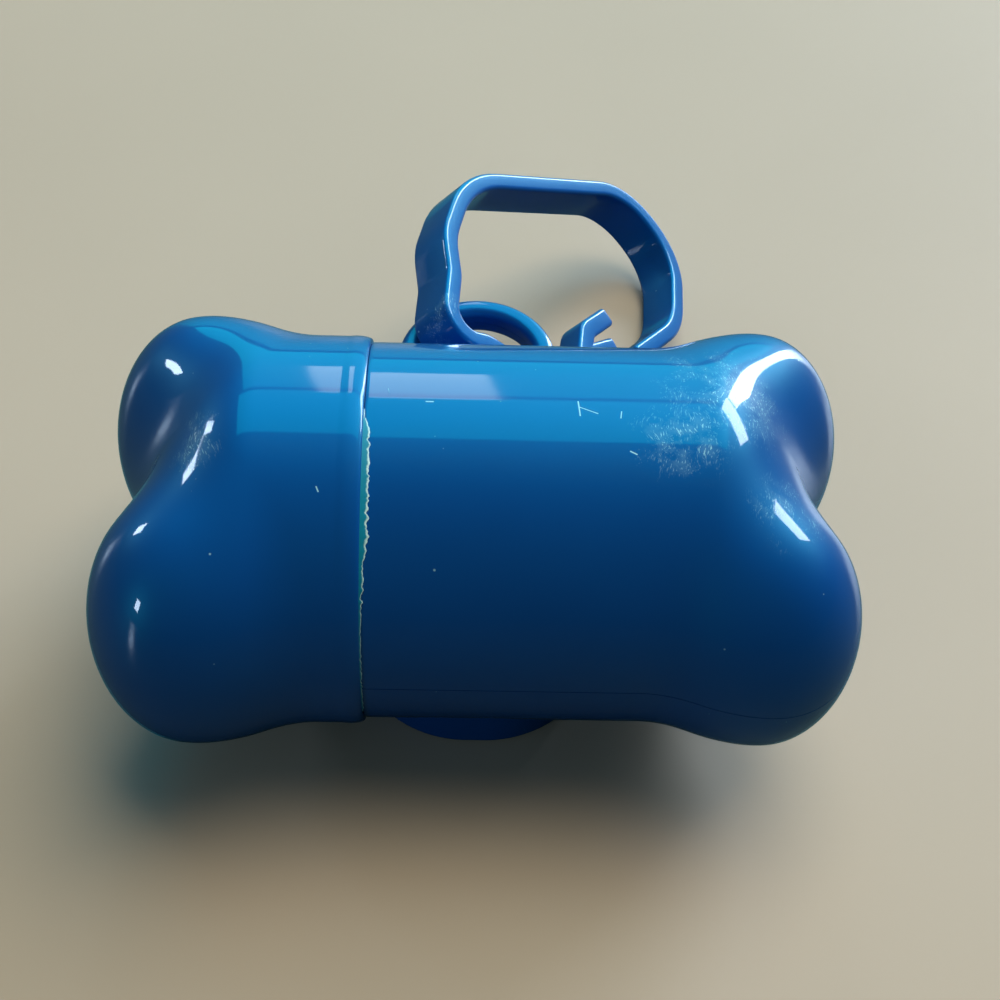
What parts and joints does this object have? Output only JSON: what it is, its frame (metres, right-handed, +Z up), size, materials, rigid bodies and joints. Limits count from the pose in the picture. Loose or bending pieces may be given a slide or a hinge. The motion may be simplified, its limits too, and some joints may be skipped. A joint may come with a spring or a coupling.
{
  "type": "dog waste bag dispenser",
  "caption": "Bone-shaped holder for a roll of waste bags, with a push-on end cap, a slotted boss that the bags leave by and a spring clip on a lug.",
  "frame": {"origin": "on the table under the middle of the oval boss, which is the middle of the bag slot", "axes": "+X along the bone towards the fixed end, away from the cap; +Y from the bone towards the lug and the clip; +Z up, away from the boss"},
  "size_m": [0.0772, 0.0876, 0.0422],
  "materials": {
    "shell_plastic": "glossy, finely scuffed",
    "cap_plastic": "glossy, finely scuffed",
    "clip_plastic": "glossy",
    "bag_film": "thin wound film",
    "core_card": "grey-brown card"
  },
  "bodies": {
    "shell": {"upper_shell": "shell_plastic", "lower_shell": "shell_plastic", "first_bag": "bag_film"},
    "cap": {"end_cap": "cap_plastic"},
    "roll": {"bag_roll": "bag_film", "roll_core": "core_card"},
    "clip": {"clip_frame": "clip_plastic"},
    "tongue": {"clip_tongue": "clip_plastic"}
  },
  "joints": [
    {"name": "cap_pull", "type": "slide", "parent": "shell", "child": "cap", "axis": [-1, 0, 0], "range_m": [0, 0.04]},
    {"name": "roll_spin", "type": "hinge", "parent": "shell", "child": "roll", "pos_m": [0, 0, 0.0211], "axis": [1, 0, 0], "continuous": true},
    {"name": "clip_swing", "type": "hinge", "parent": "shell", "child": "clip", "pos_m": [0, 0.0285, 0.0215], "axis": [0.9397, 0, 0.342], "range_deg": [-20, 85]},
    {"name": "tongue_flex", "type": "hinge", "parent": "clip", "child": "tongue", "pos_m": [0.00482, 0.02465, 0.01785], "axis": [0.6538, -0.0523, 0.7548], "range_deg": [0, 22], "stiffness_Nm_per_rad": 0.3}
  ]
}
